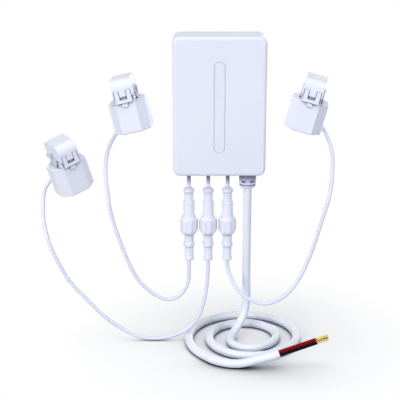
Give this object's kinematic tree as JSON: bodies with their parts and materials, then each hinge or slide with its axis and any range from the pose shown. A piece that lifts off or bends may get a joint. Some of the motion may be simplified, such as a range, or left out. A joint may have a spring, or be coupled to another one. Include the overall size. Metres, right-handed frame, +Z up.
{
  "type": "smart energy monitor",
  "caption": "Slim wall-mounted energy monitor with a light bar, clamp-on current sensors on leads with screw connectors and a coiled mains cord with bared cores.",
  "frame": {"origin": "middle of the housing's rear face, which lies on the wall", "axes": "+X to the right seen from the front, +Y into the wall, +Z up; the front faces -Y"},
  "size_m": [0.2462, 0.1057, 0.2661],
  "materials": {
    "shell": "satin moulded white",
    "connector_plastic": "satin moulded white",
    "sensor_plastic": "satin moulded white",
    "light_guide": "milky diffuser",
    "lamp": "clear moulded",
    "board": "solder mask",
    "dark_component": "moulded black",
    "metal_can": "tinned",
    "terminal_plastic": "moulded green",
    "capacitor_sleeve": "shrink sleeve",
    "steel": "zinc plated",
    "rubber_white": "soft moulded",
    "cord_jacket": "satin extruded",
    "seal_rubber": "moulded black",
    "contact_brass": "plated",
    "iron_core": "ground ferrite",
    "winding": "enamelled wire",
    "red_insulation": "satin extruded",
    "black_insulation": "satin extruded",
    "copper": "bare strands"
  },
  "bodies": {
    "unit": {"front_cover": "shell", "rear_cover": "shell", "mains_gland": "shell", "socket_1": "connector_plastic", "socket_2": "connector_plastic", "socket_3": "connector_plastic", "ct_1_body": "sensor_plastic", "ct_2_body": "sensor_plastic", "ct_3_body": "sensor_plastic", "light_bar": "light_guide", "leds": "lamp", "circuit_board": "board", "power_supply_module": "dark_component", "metering_chips": "dark_component", "lead_terminals": "dark_component", "wireless_module": "metal_can", "mains_terminal_block": "terminal_plastic", "filter_capacitors": "capacitor_sleeve", "board_screws": "steel", "cover_screws": "steel", "ct_hinge_pins": "steel", "lead_grommets": "rubber_white", "ct_grommets": "rubber_white", "pigtails": "cord_jacket", "lead_1": "cord_jacket", "lead_2": "cord_jacket", "lead_3": "cord_jacket", "mains_drop": "cord_jacket", "mains_coil": "cord_jacket", "mains_tail": "cord_jacket", "cover_gasket": "seal_rubber", "contact_pins": "contact_brass", "ct_lower_cores": "iron_core", "ct_coils": "winding", "red_core": "red_insulation", "black_core": "black_insulation", "inner_cores": "black_insulation", "copper_strands": "copper"},
    "plug_1": {"plug_1": "connector_plastic", "seal_1": "seal_rubber", "contact_sleeves_1": "contact_brass"},
    "nut_1": {"nut_1": "connector_plastic"},
    "jaw_1": {"ct_1_jaw": "sensor_plastic", "ct_1_upper_core": "iron_core"},
    "latch_1": {"ct_1_latch": "sensor_plastic"},
    "plug_2": {"plug_2": "connector_plastic", "seal_2": "seal_rubber", "contact_sleeves_2": "contact_brass"},
    "nut_2": {"nut_2": "connector_plastic"},
    "jaw_2": {"ct_2_jaw": "sensor_plastic", "ct_2_upper_core": "iron_core"},
    "latch_2": {"ct_2_latch": "sensor_plastic"},
    "plug_3": {"plug_3": "connector_plastic", "seal_3": "seal_rubber", "contact_sleeves_3": "contact_brass"},
    "nut_3": {"nut_3": "connector_plastic"},
    "jaw_3": {"ct_3_jaw": "sensor_plastic", "ct_3_upper_core": "iron_core"},
    "latch_3": {"ct_3_latch": "sensor_plastic"}
  },
  "joints": [
    {"name": "plug_1_pull", "type": "slide", "parent": "unit", "child": "plug_1", "axis": [0, 0, -1], "range_m": [0, 0.009], "deforming": ["lead_1"]},
    {"name": "nut_1_turn", "type": "hinge", "parent": "plug_1", "child": "nut_1", "pos_m": [-0.0248, -0.013, -0.1027], "axis": [0, 0, -1], "range_deg": [0, 2160]},
    {"name": "jaw_1_hinge", "type": "hinge", "parent": "unit", "child": "jaw_1", "pos_m": [-0.07442, 0.00345, 0.00887], "axis": [-0.97, 0.0678, -0.2334], "range_deg": [0, 100]},
    {"name": "latch_1_flex", "type": "hinge", "parent": "jaw_1", "child": "latch_1", "pos_m": [-0.07796, -0.02778, 0.01451], "axis": [-0.97, 0.0678, -0.2334], "range_deg": [0, 10], "stiffness_Nm_per_rad": 0.05},
    {"name": "plug_2_pull", "type": "slide", "parent": "unit", "child": "plug_2", "axis": [0, 0, -1], "range_m": [0, 0.009], "deforming": ["lead_2"]},
    {"name": "nut_2_turn", "type": "hinge", "parent": "plug_2", "child": "nut_2", "pos_m": [-0.0088, -0.013, -0.1027], "axis": [0, 0, -1], "range_deg": [0, 2160]},
    {"name": "jaw_2_hinge", "type": "hinge", "parent": "unit", "child": "jaw_2", "pos_m": [-0.13508, -0.00381, -0.04178], "axis": [-0.8236, -0.4755, -0.309], "range_deg": [0, 100]},
    {"name": "latch_2_flex", "type": "hinge", "parent": "jaw_2", "child": "latch_2", "pos_m": [-0.12093, -0.0319, -0.03626], "axis": [-0.8236, -0.4755, -0.309], "range_deg": [0, 10], "stiffness_Nm_per_rad": 0.05},
    {"name": "plug_3_pull", "type": "slide", "parent": "unit", "child": "plug_3", "axis": [0, 0, -1], "range_m": [0, 0.009], "deforming": ["lead_3"]},
    {"name": "nut_3_turn", "type": "hinge", "parent": "plug_3", "child": "nut_3", "pos_m": [0.0072, -0.013, -0.1027], "axis": [0, 0, -1], "range_deg": [0, 2160]},
    {"name": "jaw_3_hinge", "type": "hinge", "parent": "unit", "child": "jaw_3", "pos_m": [0.07722, 0.00179, 0.00924], "axis": [-0.9587, 0.1347, 0.2504], "range_deg": [0, 100]},
    {"name": "latch_3_flex", "type": "hinge", "parent": "jaw_3", "child": "latch_3", "pos_m": [0.07428, -0.0295, 0.01485], "axis": [-0.9587, 0.1347, 0.2504], "range_deg": [0, 10], "stiffness_Nm_per_rad": 0.05}
  ],
  "couplings": [
    {"joint": "nut_1_turn", "follows": "plug_1_pull", "rad_per_m": 4188.7},
    {"joint": "nut_2_turn", "follows": "plug_2_pull", "rad_per_m": 4188.7},
    {"joint": "nut_3_turn", "follows": "plug_3_pull", "rad_per_m": 4188.7}
  ]
}
